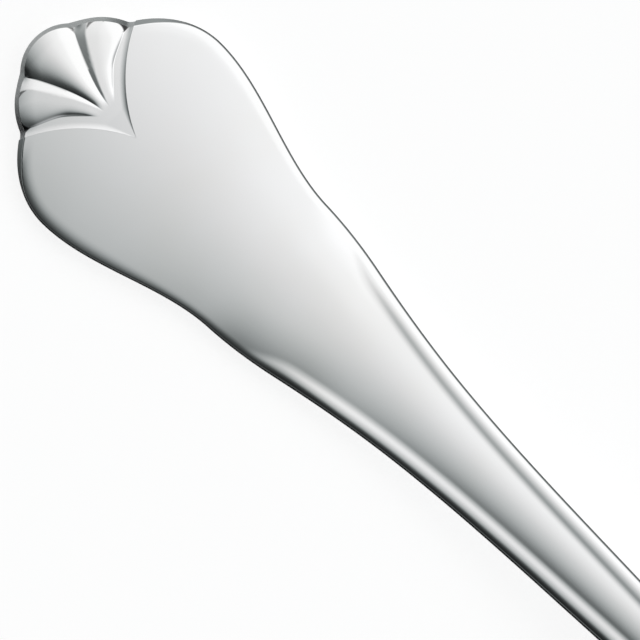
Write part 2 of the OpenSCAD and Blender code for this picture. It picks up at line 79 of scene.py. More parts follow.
# Stem
stem_width = 5.2
stem_thickness = 3.2
stem_crown = 0.42
under_crown = 0.9
rise_bend_length = 51.0
arch_bend_length = 17.0
neck_length = 3.0
thread_width = 1.53
thread_crest_set = 0.87
thread_radius = 3.5
thread_flank_slope = 0.075
thread_blend = 0.05
thread_start_width = 0.5
thread_widen = (28.9, 34.8)
thread_rise = (27.2, 38.5)
thread_end_length = 7.0
waist_roll_width = 4.5
waist_roll_depth = 0.112
waist_roll_start = (24.5, 30.5)
waist_roll_end = (33.0, 41.0)
# The stem's taper behind the waist: where along it, the share of extra width left, and its fall
taper_shares = [
    (0.0, 1.0, -0.6),
    (0.103, 0.793, -3.2),
    (0.265, 0.382, -1.76),
    (0.574, 0.088, -0.64),
    (0.868, 0.0, 0.0),
]

# Fan shell
fan_overhang = 3.0
fan_shoulder_set = 1.75
lobe_radius = 4.1
lobe_notch_at = 1.4
lobe_bulge = 0.5
notch_blend = 0.8
shoulder_blend = 0.3
lobe_focus_at = 8.7
groove_power = 1.6
groove_end_half = 0.3
swell_power = 1.4
lobe_fade_length = 1.5
border_width = 1.05
border_end_width = 0.6
border_taper_length = 1.8
middle_lobe_height = 0.53
middle_lobe_crown = 0.27
side_lobe_height = 0.4
side_crest_share = 0.28
side_end_power = 1.3
side_focus_power = 5.9
flank_share = 0.165
flank_flare_width = 0.4
flank_flare_length = 1.1
lobe_roll_width = 1.3
lobe_roll_depth = 0.05
notch_depth = 0.18
notch_reach = 1.0
fan_margin = 0.45
ledge_drop = 0.38
ledge_spare = 0.08
vee_set = 0.3
vee_length = 6.85
vee_bulge = 0.87
vee_step = 0.05
vee_ramp_width = 0.5
vee_taper_half = 1.5
least_taper_share = 1e-4
# Dark corners between the lobes and at the shoulders, part oxide and part painted shade: radii, darkness,
# soft edge and reach
corner_radius = 0.75
corner_stain_and_shade = 0.78
shoulder_radius = 0.95
stain_and_shade_soft = 0.12
stain_and_shade_reach = 0.5
seat_height = 1.2

# Bowl
bowl_length = 45.0
bowl_width = 34.0
bowl_front_length = 24.0
bowl_depth = 7.0
bowl_wall = 1.3
rear_sheer = 1.2
front_sheer = 0.5
flare_length = 5.0
neck_thickness = 2.8
heel_length = 12.0
rear_power = 0.72
front_power = 0.5
dish_soft_share = 0.15

# Drop under the neck
drop_front_length = 12.0
drop_rear_length = 13.0
drop_width = 7.6
drop_rear_width = 2.4
drop_thickness = 0.9
drop_edge = 0.25

# Joints
solder_gap = 0.05
fan_gap = 0.01
scarf_set = 8.5
scarf_run = 4.0

# Places that follow from the sizes
neck_at = overall_length - bowl_length
deep_at = overall_length - bowl_front_length
bowl_rear_length = bowl_length - bowl_front_length
stem_span = neck_at - waist_at
scarf_at = neck_at - scarf_set
narrow_at = waist_at + stem_span * taper_shares[-1][0]
flare_at = neck_at + flare_length
shoulder_at = fan_overhang + fan_shoulder_set
vee_at = shoulder_at + vee_set
vee_point_at = vee_at + vee_length
# Place on the paddle's edge that lies across from the point of the V
split_at = 13.0
drop_rear_at = neck_at - drop_rear_length
drop_round_at = neck_at + drop_front_length - drop_width / 2
rise_bend = (rest_length, rest_length + rise_bend_length)
arch_bend = (neck_at - neck_length - arch_bend_length, neck_at - neck_length)

# Angle in degrees between two faces from which their edge is sharp
crease_angle = 38

# How finely the meshes are divided
outline_points = 6000
end_points = 600
vee_points = 600
vee_rows = 110
paddle_rows = 110
stem_rows = 230
bowl_rows = 260
fan_tip_rows = 47
fan_rows = 190
drop_rows = 110
drop_front_rows = 36
rim_steps = 7
roll_steps = 22
roll_reach = 2.4
inner_steps = 14
bowl_steps = 40
lobe_steps = 26
groove_low_share = 0.2
groove_high_share = 0.9
border_steps = 14
lean_tries = 4
crowded_share = 0.8
merge_gap = 1e-4


def ease(low, high, at):
    """Smooth step from 0 to 1 between two places."""
    t = np.clip((at - low) / (high - low), 0, 1)
    return t**3 * (10 + t * (6 * t - 15))


def bend_z(bend, at):
    """Height gained beyond a smooth bend from level to a slope of 1."""
    span = bend[1] - bend[0]
    t = np.clip((at - bend[0]) / span, 0, 1)
    return span * (t**3 - t**4 / 2) + np.maximum(0, at - bend[1])


def curve(start, end, at):
    """Curve between two stations, each given as place, value and slope."""
    span = end[0] - start[0]
    t = (at - start[0]) / span
    values = start[1] * (1 + 2 * t) * (1 - t) ** 2 + end[1] * t * t * (3 - 2 * t)
    return values + span * (start[2] * t * (1 - t) ** 2 - end[2] * t * t * (1 - t))


def along(stations, at):
    """The same along a list of stations."""
    values = np.full_like(at, stations[-1][1])
    for start, end in reversed(list(zip(stations, stations[1:]))):
        values = np.where(at <= end[0], curve(start, end, at), values)
    return values


def arc_through(start, end, bulge):
    """Centre, radius and side of an arc that bulges away from the axis, or towards it if negative."""
    start, end = np.array(start), np.array(end)
    chord = np.linalg.norm(end - start)
    radius = (chord**2 / 4 + bulge**2) / (2 * abs(bulge))
    across = np.array([end[1] - start[1], start[0] - end[0]]) / chord
    outward = across * np.sign(across[1])
    side = np.sign(bulge)
    return (start + end) / 2 - side * outward * (radius - abs(bulge)), radius, side


def arc_half(arc, at, margin=0.0):
    """Distance of an arc from the axis, with the arc moved in by a margin."""
    centre, radius, side = arc
    radius = radius - margin * side
    run = at - centre[0]
    reach = np.sqrt(np.maximum(radius**2 - run**2, 0))
    beyond = centre[1] if side < 0 else 0
    return np.where(abs(run) < radius, centre[1] + side * reach, beyond)


def paddle_end_half(at, margin=0.0):
    place = (paddle_widest_at - at) / (paddle_widest_at - fan_overhang - margin)
    return (paddle_width / 2 - margin) * np.sqrt(np.maximum(0, 1 - place**2))


lobe_notch = (lobe_notch_at, math.sqrt(2 * lobe_radius * lobe_notch_at - lobe_notch_at**2))
shoulder = (shoulder_at, float(paddle_end_half(shoulder_at)))
side_lobe = arc_through(lobe_notch, shoulder, lobe_bulge)
vee_side = arc_through((vee_at, float(paddle_end_half(vee_at))), (vee_point_at, 0), -vee_bulge)


def upper(first, second, blend):
    """The larger of two values, with a soft passage from one to the other."""
    soft = np.maximum(blend - abs(first - second), 0)
    return np.maximum(first, second) + soft**2 / (4 * blend)


def middle_lobe_half(at, margin=0.0):
    half = np.sqrt(np.maximum(0, (lobe_radius - margin) ** 2 - (lobe_radius - at) ** 2))
    return np.where(at < lobe_radius, half, 0)


def joined_half(first, second, blend):
    """Two parts of the outline joined by a rounded notch."""
    apart = np.minimum(first, second) <= 0
    return np.where(apart, np.maximum(first, second), upper(first, second, blend))


def end_half(at):
    lobes = joined_half(middle_lobe_half(at), arc_half(side_lobe, at), notch_blend)
    return joined_half(lobes, paddle_end_half(at), shoulder_blend)


def blade_half(at):
    waist_slope = taper_shares[0][2] * (waist_width - stem_width) / 2 / stem_span
    widest = (paddle_widest_at, paddle_width / 2, 0)
    before = curve(widest, (waist_at, waist_width / 2, waist_slope), at)
    extra = (waist_width - stem_width) * along(taper_shares, (at - waist_at) / stem_span)
    return np.where(at < waist_at, before, (stem_width + extra) / 2)


def bowl_place(at):
    return (at - deep_at) / np.where(at < deep_at, bowl_rear_length, bowl_front_length)


def bowl_power(at):
    return np.where(at < deep_at, rear_power, front_power)


def bowl_half(at):
    return bowl_width / 2 * np.maximum(0, 1 - bowl_place(at) ** 2) ** bowl_power(at)


def flare_half(at):
    place = (flare_at - deep_at) / bowl_rear_length
    slope = -bowl_width * rear_power * (1 - place**2) ** (rear_power - 1) * place / bowl_rear_length
    return curve((narrow_at, stem_width / 2, 0), (flare_at, bowl_half(flare_at), slope), at)


def half_width(at):
    """Outline of the spoon, as half its width."""
    at = np.asarray(at, float)
    return np.select(
        [at < paddle_widest_at, at < narrow_at, at < flare_at],
        [end_half(at), blade_half(at), flare_half(at)],
        bowl_half(at),
    )


def rim_z(at):
    sheer = np.where(at < deep_at, rear_sheer, front_sheer)
    return bowl_depth + bowl_wall + sheer * bowl_place(at) ** 2


def top_line(at):
    """Height of the middle line of the face, seen from the side."""
    neck_slope = -2 * rear_sheer / bowl_rear_length
    rise_middle, arch_middle = np.mean(rise_bend), np.mean(arch_bend)
    climb = rim_z(neck_at) - paddle_thickness - neck_slope * (neck_at - arch_middle)
    stem_slope = climb / (arch_middle - rise_middle)
    rise = stem_slope * bend_z(rise_bend, at)
    fall = (neck_slope - stem_slope) * bend_z(arch_bend, at)
    return np.where(at < neck_at, paddle_thickness + rise + fall, rim_z(at))


def middle_thickness(at):
    thicker = (stem_thickness - paddle_thickness) * ease(waist_at, arch_bend[0], at)
    thinner = (neck_thickness - stem_thickness) * ease(arch_bend[0], neck_at, at)
    return paddle_thickness + thicker + thinner


def in_bowl(at):
    """Share of the section that already has the bowl's shape."""
    return ease(neck_at - thread_end_length, neck_at + thread_end_length, at)


def dish_share(at, y):
    """Depth of the hollow as a share of its greatest depth."""
    run = 1 - bowl_place(at) ** 2
    t = np.sign(run) * abs(run) ** (2 * bowl_power(at)) - (2 * y / bowl_width) ** 2
    return (t + np.sqrt(t * t + dish_soft_share**2)) / (1 + math.sqrt(1 + dish_soft_share**2))


def rounded(inset, radius):
    """Fall of a quarter-round edge at a distance from the edge."""
    run = radius - np.clip(inset, 0, radius)
    return radius - np.sqrt(radius**2 - run**2)


def at_end(at):
    """Share of the bevel that runs on from the fan's ledge around the paddle's end."""
    return 1 - ease(vee_at, vee_at + end_bevel_length, at)


def upper_rim_z(at, inset):
    """Fall of the upper rim: a bevel, which is broad at the paddle's end, and rounded on the bowl."""
    width = edge_bevel_width + (fan_margin - edge_bevel_width) * at_end(at)
    slope = edge_bevel_slope + (end_bevel_slope - edge_bevel_slope) * at_end(at)
    half = half_width(at)
    face_fall = threaded_z(at, half - width) - threaded_z(at, half)
    face_fall = face_fall + roll_z(at, 0) - roll_z(at, width)
    bevel = np.maximum(0, width - inset) * (slope - face_fall / width)
    return bevel + (rounded(inset, rim_radius) - bevel) * in_bowl(at)


def roll_z(at, inset):
    """Fall of the face towards the edge, narrower on the stem than on the paddle and broad at the waist."""
    on_stem = ease(paddle_widest_at, waist_at, at)
    width = roll_width + (stem_roll_width - roll_width) * on_stem
    share = 1 - np.clip(inset / width, 0, 1)
    started = ease(vee_at, vee_at + roll_start_length, at)
    depth = roll_depth * width / roll_width * (1 - in_bowl(at)) * started
    at_waist = ease(*waist_roll_start, at) * (1 - ease(*waist_roll_end, at))
    waist_share = 1 - np.clip(inset / waist_roll_width, 0, 1)
    return depth * share**roll_power + waist_roll_depth * at_waist * waist_share**2


def thread_fall(run):
    """Fall of a thread beside its crest: round at the crest and outward, with an even slope inward."""
    round_run = np.minimum(run, thread_radius * thread_flank_slope)
    return round_run**2 / (2 * thread_radius) + thread_flank_slope * (run - round_run)


def threaded_z(at, y):
    """Face of the stem with a thread along each edge, which starts slim at the edge of the paddle."""
    grown = ease(*thread_rise, at)
    kept = 1 - ease(neck_at - 2 * thread_end_length, neck_at - thread_end_length, at)
    width = thread_start_width + (thread_width - thread_start_width) * ease(*thread_widen, at)
    crest_set = width * thread_crest_set / thread_width
    half = half_width(at)
    face = face_z(at, y)
    hump = thread_fall(width - crest_set) - thread_fall(half - abs(y) - crest_set)
    thread = upper(face, face_z(at, half - width) + hump, thread_blend)
    return face + grown * kept * (thread - face)


def face_z(at, y):
    """Smooth face of paddle and stem, without edges and grooves."""
    crown_half = np.where(at < paddle_widest_at, paddle_width / 2, half_width(at))
    crown_half = np.maximum(crown_half, rim_radius)
    fall = paddle_crown + (stem_crown - paddle_crown) * ease(waist_at, arch_bend[0], at)
    crown = fall * (1 - in_bowl(at)) * (y / crown_half) ** 2
    return top_line(at) - bowl_depth * dish_share(at, y) - crown


def top_z(at, y):
    inset = spoon_edge.distance(at, y)
    return threaded_z(at, y) - roll_z(at, inset) - upper_rim_z(at, inset)


def bottom_z(at, y):
    half = np.maximum(half_width(at), rim_radius)
    under = under_crown * ease(rest_length, arch_bend[0], at) * (y / half) ** 2
    bar = middle_thickness(at) - under
    heel_fade = 1 - ease(neck_at, neck_at + heel_length, at)
    heel_bump = (1 - np.clip(abs(y) / drop_width, 0, 1) ** 2) ** 2
    heel = (neck_thickness - bowl_wall) * heel_fade * heel_bump
    thickness = bar + (bowl_wall + heel - bar) * in_bowl(at)
    rim = rounded(spoon_edge.distance(at, y), rim_radius)
    return top_line(at) - bowl_depth * dish_share(at, y) - thickness + rim


def seat_z(at, y):
    """Seat of the fan, with a bevelled ledge around the ends of the lobes."""
    bevel = np.maximum(0, fan_margin + ledge_spare - spoon_edge.distance(at, y))
    return seat_height - ledge_drop / fan_margin * bevel


def lean(at):
    """Slant of the cross-sections near the scarf joint, which makes its two faces flat."""
    rising = ease(scarf_at - scarf_set, scarf_at, at)
    return scarf_run / neck_thickness * rising * (1 - ease(scarf_at, scarf_at + scarf_set, at))


def middle_z(at):
    return top_line(at) - bowl_depth * dish_share(at, 0) - middle_thickness(at) / 2


class Edge:
    """A line of points in plan, which gives distances from it."""

    def __init__(self, line):
        self.line = np.asarray(line, float)
        self.tree = kdtree.KDTree(len(self.line))
        for i, (at, y) in enumerate(self.line):
            self.tree.insert((at, y, 0), i)
        self.tree.balance()

    def distance(self, at, y):
        """Distance of each point from the nearest stretch of the line; both sides of y are alike."""
        points = np.column_stack([np.ravel(at), abs(np.ravel(y))])
        near = np.array([self.tree.find((p[0], p[1], 0))[1] for p in points])
        found = np.full(len(points), np.inf)
        for first in (near - 1, near):
            first = np.clip(first, 0, len(self.line) - 2)
            start, stretch = self.line[first], self.line[first + 1] - self.line[first]
            share = np.sum((points - start) * stretch, 1) / np.sum(stretch**2, 1)
            foot = start + stretch * np.clip(share, 0, 1)[:, None]
            found = np.minimum(found, np.linalg.norm(points - foot, axis=1))
        return found.reshape(np.shape(at))


def outline_line():
    """The right half of the spoon's outline, crowded at both round ends."""
    reach = math.acos(1 - lobe_notch_at / lobe_radius)
    turn = np.linspace(0, 1, end_points, endpoint=False)
    tip = lobe_radius * (1 - np.cos(reach * turn))
    middle = np.linspace(lobe_notch_at, deep_at, outline_points, endpoint=False)
    front = deep_at + bowl_front_length * np.sin(math.pi / 2 * np.append(turn, 1))
    at = np.concatenate([tip, middle, front])
    return np.column_stack([at, half_width(at)])


def stretch_of(line, start, end):
    """The part of a line between two places along the spoon."""
    inside = line[(line[:, 0] > start) & (line[:, 0] < end)]
    ends = [[place, np.interp(place, line[:, 0], line[:, 1])] for place in (start, end)]
    return np.vstack([ends[:1], inside, ends[1:]])


def resampled(line, count):
    """The same line with evenly spaced points."""
    run = np.append(0, np.cumsum(np.linalg.norm(np.diff(line, axis=0), axis=1)))
    places = np.linspace(0, run[-1], count)
    return np.column_stack([np.interp(places, run, line[:, k]) for k in range(2)])


def axis_line(start, end, count):
    return np.column_stack([np.linspace(start, end, count), np.zeros(count)])


outline = outline_line()
spoon_edge = Edge(outline)
vee_places = np.linspace(vee_at, vee_point_at, vee_points)
vee_line = resampled(np.column_stack([vee_places, arc_half(vee_side, vee_places)]), vee_rows)

quarter_turn = np.linspace(0, math.pi / 2, rim_steps)
rim_insets = rim_radius * (1 - np.cos(quarter_turn))
ledge_insets = np.linspace(0, fan_margin + ledge_spare, rim_steps)
roll_insets = np.linspace(rim_radius, roll_reach, roll_steps)[1:]
no_insets = np.zeros(1)


def sheet(inner, outer, inner_insets, outer_insets, steps):
    """Rows of plan points from an inner to an outer line, at given distances beside both lines."""
    gap = outer - inner
    width = np.maximum(np.linalg.norm(gap, axis=1, keepdims=True), merge_gap)
    scale = np.minimum(1, crowded_share * width / (inner_insets[-1] + outer_insets[-1]))
    low = inner_insets * scale
    high = width - outer_insets[::-1] * scale
    shares = np.linspace(0, 1, steps + 1)[1:-1]
    between = low[:, -1:] + (high[:, :1] - low[:, -1:]) * shares
    reach = np.hstack([low, between, high]) / width
    return inner[:, None] + gap[:, None] * reach[:, :, None]


def raised(plan, surface):
    """Plan points lifted to a surface, leaning over near the scarf joint."""
    start, y = plan[..., 0], plan[..., 1]
    at, z = start, surface(start, y)
    if np.any(lean(start) > 0):
        for _ in range(lean_tries):
            at = start + lean(start) * (z - middle_z(start))
            z = surface(at, y)
    return np.stack([at, y, z], axis=-1)


def wall(low, high, share=0.5):
    """Upright strip between two lines of points, with a line at a share of its height."""
    return np.stack([low, low + (high - low) * share, high], axis=1)


def grid_faces(rows, columns, first):
    index = first + np.arange(rows * columns).reshape(rows, columns)
    corners = (index[:-1, :-1], index[1:, :-1], index[1:, 1:], index[:-1, 1:])
    return np.stack(corners, axis=-1).reshape(-1, 4)


def beside(groove, at, y):
    """Distance from a groove, positive on its outer side."""
    slope = (groove(at + merge_gap) - groove(at - merge_gap)) / (2 * merge_gap)
    return (y - groove(at)) / np.hypot(1, slope)


def outside_corner(radius, first, second):
    """Share to which a place lies outside a rounded corner, given its distances from both sides."""
    reach = np.hypot(np.maximum(0, radius - first), np.maximum(0, radius - second))
    return ease(0, stain_and_shade_soft, reach - radius)


def oxide_and_painted_shade(at, y):
    """Dark oxide and painted shade in the corners between the lobes and at the shoulders."""
    end = np.maximum(lobe_end_inset(at, y), 0)
    inside = beside(inner_groove, at, y)
    flank_width = flank_share * np.maximum(lobe_focus_at - at, 0) + flank_flare(at, y)
    middle = outside_corner(corner_radius, end, np.maximum(-inside, 0)) * (inside < merge_gap)
    past_flank = inside - flank_width
    flank = outside_corner(corner_radius, end, np.maximum(past_flank, 0)) * (past_flank > -stain_and_shade_soft)
    outside = -beside(outer_groove, at, y)
    shoulder = outside_corner(shoulder_radius, end, np.maximum(outside, 0))
    shoulder = shoulder * (1 - ease(0, stain_and_shade_reach, -outside))
    near_ends = (at < vee_at) & (y < fan_half(at) + merge_gap)
    return np.maximum(corner_stain_and_shade * np.maximum(middle, flank), shoulder) * near_ends


def piece_from(name, grids):
    """A closed, smooth piece from the sheets of its right half and their mirror images."""
    points, faces, stains_and_shade = [], [], []
    count = 0
    for side in (1, -1):
        for grid in grids:
            rows, columns = grid.shape[:2]
            flat = grid.reshape(-1, 3)
            stains_and_shade.append(oxide_and_painted_shade(flat[:, 0], flat[:, 1]))
            points.append(flat * (1, side, 1) - (overall_length / 2, 0, 0))
            faces.append(grid_faces(rows, columns, count)[:, ::side])
            count += len(flat)
    mesh = bpy.data.meshes.new(name)
    mesh.from_pydata((np.vstack(points) * MM).tolist(), [], np.vstack(faces).tolist())
    # Darkness of the oxide and the painted shade in the corners, kept on each point for the material
    stain_and_shade = mesh.attributes.new("tarnish_and_painted_shade", "FLOAT", "POINT")
    stain_and_shade.data.foreach_set("value", np.concatenate(stains_and_shade).astype(np.float32))
    weld(mesh)
    piece = bpy.data.objects.new(name, mesh)
    bpy.context.scene.collection.objects.link(piece)
    return piece


def weld(mesh):
    """Joins the sheets, closes the flat ends and turns all faces outward."""
    work = bmesh.new()
    work.from_mesh(mesh)
    bmesh.ops.remove_doubles(work, verts=work.verts, dist=merge_gap * MM)
    bmesh.ops.dissolve_degenerate(work, edges=work.edges, dist=merge_gap * MM)
    bmesh.ops.holes_fill(work, edges=[e for e in work.edges if e.is_boundary], sides=0)
    bmesh.ops.recalc_face_normals(work, faces=work.faces)
    work.to_mesh(mesh)
    work.free()
    mesh.polygons.foreach_set("use_smooth", np.ones(len(mesh.polygons), bool))
    mesh.set_sharp_from_angle(angle=math.radians(crease_angle))


def blade_lines():
    """Inner and outer line of the paddle's and the stem's face, paired row by row."""
    stem = stretch_of(outline, waist_at, scarf_at)
    stem_places = np.linspace(waist_at, scarf_at, stem_rows)
    stem_outer = np.column_stack([stem_places, np.interp(stem_places, stem[:, 0], stem[:, 1])])
    outer = np.vstack([
        resampled(stretch_of(outline, vee_at, split_at), vee_rows),
        resampled(stretch_of(outline, split_at, waist_at), paddle_rows)[1:],
        stem_outer[1:],
    ])
    inner = np.vstack([
        vee_line,
        axis_line(vee_point_at, waist_at, paddle_rows)[1:],
        axis_line(waist_at, scarf_at, stem_rows)[1:],
    ])
    return inner, outer


def make_handle():
    inner, outer = blade_lines()
    lobes = resampled(stretch_of(outline, 0, vee_at), vee_rows)
    face_insets = np.append(rim_insets, roll_insets)
    face = raised(sheet(inner, outer, no_insets, face_insets, inner_steps), top_z)
    seat = raised(sheet(vee_line[::-1], lobes, no_insets, ledge_insets, inner_steps), seat_z)
    rim = np.vstack([lobes, outer[1:]])
    run = np.append(0, np.cumsum(np.linalg.norm(np.diff(rim, axis=0), axis=1)))
    waist_row = len(rim) - stem_rows
    spine_at = np.where(rim[:, 0] < waist_at, waist_at * run / run[waist_row], rim[:, 0])
    spine = np.column_stack([spine_at, np.zeros(len(rim))])
    back = raised(sheet(spine, rim, no_insets, rim_insets, inner_steps), bottom_z)
    back_z = back[vee_rows - 1, -1, 2]
    seat_share = (seat[-1, -1, 2] - back_z) / (face[0, -1, 2] - back_z)
    low_wall = wall(back[:vee_rows, -1], seat[:, -1])
    high_wall = wall(back[vee_rows - 1:, -1], face[:, -1], seat_share)
    vee_wall = wall(seat[::-1, 0], face[:vee_rows, 0])
    return piece_from("spoon_handle", [face, seat, back, low_wall, high_wall, vee_wall])


def fan_half(at):
    lobes = np.maximum(middle_lobe_half(at, fan_margin), arc_half(side_lobe, at, fan_margin))
    ends = np.maximum(lobes, paddle_end_half(at, fan_margin))
    return np.minimum(ends, arc_half(vee_side, at) - fan_gap)


def inner_groove(at):
    share = np.maximum(0, lobe_focus_at - at) / (lobe_focus_at - lobe_notch_at)
    return groove_end_half + (lobe_notch[1] - groove_end_half) * share**groove_power


def outer_groove(at):
    tapered = 1 - ease(shoulder_at, shoulder_at + border_taper_length, at)
    width = border_width + (border_end_width - border_width) * tapered
    return arc_half(vee_side, at, width)


def flank_flare(at, y):
    """Extra width of a side lobe's inner flank at the lobe's end."""
    return flank_flare_width * (1 - np.clip(lobe_end_inset(at, y) / flank_flare_length, 0, 1)) ** 2


def along_fan(at):
    """Share of the way from the notches to the place where the lobes meet."""
    return np.clip((at - lobe_notch_at) / (lobe_focus_at - lobe_notch_at), 0, 1)


def lobe_relief(at, y):
    """Height of the lobes over the fan's border, as if the fan had its full height everywhere."""
    inner, outer = inner_groove(at), outer_groove(at)
    middle = middle_lobe_height - middle_lobe_crown * np.minimum(y / inner, 1) ** 2
    flank_depth = side_lobe_height - (middle_lobe_height - middle_lobe_crown)
    flank_width = np.maximum(flank_share * (lobe_focus_at - at), merge_gap)
    flank = np.minimum((y - inner - flank_flare(at, y)) / flank_width, 1)
    across = np.clip((y - inner) / np.maximum(outer - inner, merge_gap), 0, 1)
    fall = np.maximum(across - side_crest_share, 0) / (1 - side_crest_share)
    power = side_end_power + (side_focus_power - side_end_power) * along_fan(at) ** 2
    side = side_lobe_height * (1 - fall**power) - flank_depth * (1 - flank)
    return np.select([y < inner, y < outer], [middle, side], 0)


def lobe_end_inset(at, y):
    """Distance from the round end of the lobe that a place lies on."""
    middle = lobe_radius - fan_margin - np.hypot(np.minimum(at - lobe_radius, 0), y)
    side = side_lobe[1] - fan_margin - np.hypot(at - side_lobe[0][0], y - side_lobe[0][1])
    return np.where(y < inner_groove(at), middle, side)


def fan_top_z(at, y):
    """Upper side of the fan: the lobes, the dip along the V, and the low places at ends and notches."""
    swell = 1 - along_fan(at) ** swell_power
    swell = swell * (1 - ease(lobe_focus_at - lobe_fade_length, lobe_focus_at, at))
    inside_vee = np.hypot(at - vee_side[0][0], y - vee_side[0][1]) - vee_side[1]
    taper = np.clip(arc_half(vee_side, at) / vee_taper_half, least_taper_share, 1)
    ramp = np.clip(inside_vee / (vee_ramp_width * taper), 0, 1)
    dip = vee_step * taper * (1 - (1 - ramp) ** 2)
    inset = lobe_end_inset(at, y)
    on_lobe = 1 - np.clip((y - outer_groove(at)) / border_width, 0, 1)
    ends = lobe_roll_depth * on_lobe * (1 - np.clip(inset / lobe_roll_width, 0, 1)) ** 2
    from_notch = np.hypot(at - lobe_notch[0], y - lobe_notch[1])
    notch = notch_depth * (1 - np.clip(from_notch / notch_reach, 0, 1)) ** 2
    return face_z(at, y) - dip + swell * lobe_relief(at, y) - ends - notch


def held_groove(groove, low, high):
    """Place of a groove, held between two places across the fan."""
    span = high - low
    return np.clip(groove, low + groove_low_share * span, low + groove_high_share * span)


def fan_plan():
    """Rows across the right half of the fan, with points along the grooves."""
    reach = math.acos(1 - (lobe_notch_at - fan_margin) / lobe_radius)
    turn = np.linspace(0, reach, fan_tip_rows, endpoint=False)
    tip = fan_margin + lobe_radius * (1 - np.cos(turn))
    at = np.append(tip, np.linspace(lobe_notch_at, vee_point_at, fan_rows))
    half = np.maximum(fan_half(at), 0)
    first = held_groove(inner_groove(at), 0, half)
    second = held_groove(outer_groove(at), first, half)
    columns = [
        np.outer(first, np.linspace(0, 1, lobe_steps, endpoint=False)),
        first[:, None] + np.outer(second - first, np.linspace(0, 1, lobe_steps, endpoint=False)),
        second[:, None] + np.outer(half - second, np.linspace(0, 1, border_steps)),
    ]
    y = np.hstack(columns)
    return np.stack([np.broadcast_to(at[:, None], y.shape), y], axis=-1)


def make_fan():
    plan = fan_plan()
    at, y = plan[..., 0], plan[..., 1]
    top = np.stack([at, y, fan_top_z(at, y)], axis=-1)
    floor_z = np.full_like(at, seat_height)
    under = np.stack([at, y, floor_z], axis=-1)
    return piece_from("fan_shell_cast", [top, under, wall(under[:, -1], top[:, -1])])


def normal_spine(rim):
    """Points of the axis from which straight rows meet the rim squarely."""
    slope = np.gradient(rim[:, 1] ** 2 / 2, rim[:, 0])
    return np.column_stack([np.maximum.accumulate(rim[:, 0] + slope), np.zeros(len(rim))])


def make_bowl():
    start = scarf_at + solder_gap
    rim = resampled(stretch_of(outline, start, overall_length), bowl_rows)
    spine = normal_spine(rim)
    spine[0] = (start, 0)
    hollow = raised(sheet(spine, rim, no_insets, rim_insets, bowl_steps), top_z)
    back = raised(sheet(spine, rim, no_insets, rim_insets, bowl_steps), bottom_z)
    return piece_from("spoon_bowl", [hollow, back, wall(back[:, -1], hollow[:, -1])])


def drop_half(at):
    rear = (drop_rear_at, drop_rear_width / 2, 0)
    tongue = curve(rear, (drop_round_at, drop_width / 2, 0), at)
    tongue = np.minimum(half_width(at) - 2 * rim_radius, tongue)
    front = np.sqrt(np.maximum(0, (drop_width / 2) ** 2 - (at - drop_round_at) ** 2))
    return np.where(at > drop_round_at, front, tongue)


def make_drop():
    tongue = np.linspace(drop_rear_at, drop_round_at, drop_rows)
    turn = np.linspace(0, math.pi / 2, drop_front_rows)[1:]
    at = np.append(tongue, drop_round_at + drop_width / 2 * np.sin(turn))
    half = drop_half(at)
    across = np.sin(np.linspace(0, math.pi / 2, inner_steps))
    y = np.outer(half, across)
    at = np.broadcast_to(at[:, None], y.shape)
    front = np.clip((at - drop_round_at) / (drop_width / 2), 0, 1)
    swell = ease(drop_rear_at, neck_at, at) * (1 - front**2)
    depth = drop_edge + (drop_thickness - drop_edge) * swell * (1 - across**2)
    seat = bottom_z(at, y) - solder_gap
    joint = np.stack([at, y, seat], axis=-1)
    under = np.stack([at, y, seat - depth], axis=-1)
    return piece_from("neck_drop", [joint, under, wall(under[:, -1], joint[:, -1])])


# Polished silver
silver_colour = (0.93, 0.935, 0.94, 1.0)
dull_colour = (0.9, 0.9, 0.89, 1.0)
# Near black of the oxide and the painted shade in the fan's corners
stain_and_shade_colour = (0.05, 0.05, 0.05, 1.0)
# Patterns in the silver: how many features lie in a metre along, across and up, and how fine they are
cloud_scale = (70.0, 70.0, 70.0)
cloud_detail = 4.0
cloud_range = (0.45, 0.75)
haze_scale = (180.0, 180.0, 180.0)
haze_detail = 3.0
polish_range = (0.06, 0.13)
hairline_scale = (90.0, 6000.0, 6000.0)
hairline_detail = 2.0
hairline_range = (0.5, 0.8)
hairline_roughness = 0.035
scuff_scale = (2500.0, 160.0, 900.0)
scuff_detail = 2.0
scuff_roughness = 0.12
# Depth of the hairlines, and height over the table under which the spoon is scuffed, in metres
hairline_depth = 4e-7
scuff_height = 0.0009


def noise(tree, scale, detail):
    """Noise pattern that may be drawn out along one of the axes."""
    place = tree.nodes.new("ShaderNodeTexCoord")
    stretch = tree.nodes.new("ShaderNodeMapping")
    stretch.inputs["Scale"].default_value = scale
    tree.links.new(place.outputs["Object"], stretch.inputs["Vector"])
    pattern = tree.nodes.new("ShaderNodeTexNoise")
    pattern.inputs["Scale"].default_value = 1.0
    pattern.inputs["Detail"].default_value = detail
    tree.links.new(stretch.outputs["Vector"], pattern.inputs["Vector"])
    return pattern.outputs["Fac"]


def ranged(tree, value, start, end):
    """A value brought from one range to another."""
    step = tree.nodes.new("ShaderNodeMapRange")
    step.inputs["From Min"].default_value = start[0]
    step.inputs["From Max"].default_value = start[1]
    step.inputs["To Min"].default_value = end[0]
    step.inputs["To Max"].default_value = end[1]
    tree.links.new(value, step.inputs["Value"])
    return step.outputs["Result"]


def combined(tree, operation, first, second):
    """Result of an operation on two values."""
    node = tree.nodes.new("ShaderNodeMath")
    node.operation = operation
    tree.links.new(first, node.inputs[0])
    tree.links.new(second, node.inputs[1])
    return node.outputs["Value"]


def mixed(tree, share, first, second):
    """Mix of two colours, each given as a colour or as a socket."""
    node = tree.nodes.new("ShaderNodeMix")
    node.data_type = "RGBA"
    tree.links.new(share, node.inputs["Factor"])
    for name, colour in (("A", first), ("B", second)):
        if isinstance(colour, tuple):
            node.inputs[name].default_value = colour
        else:
            tree.links.new(colour, node.inputs[name])
    return node.outputs["Result"]


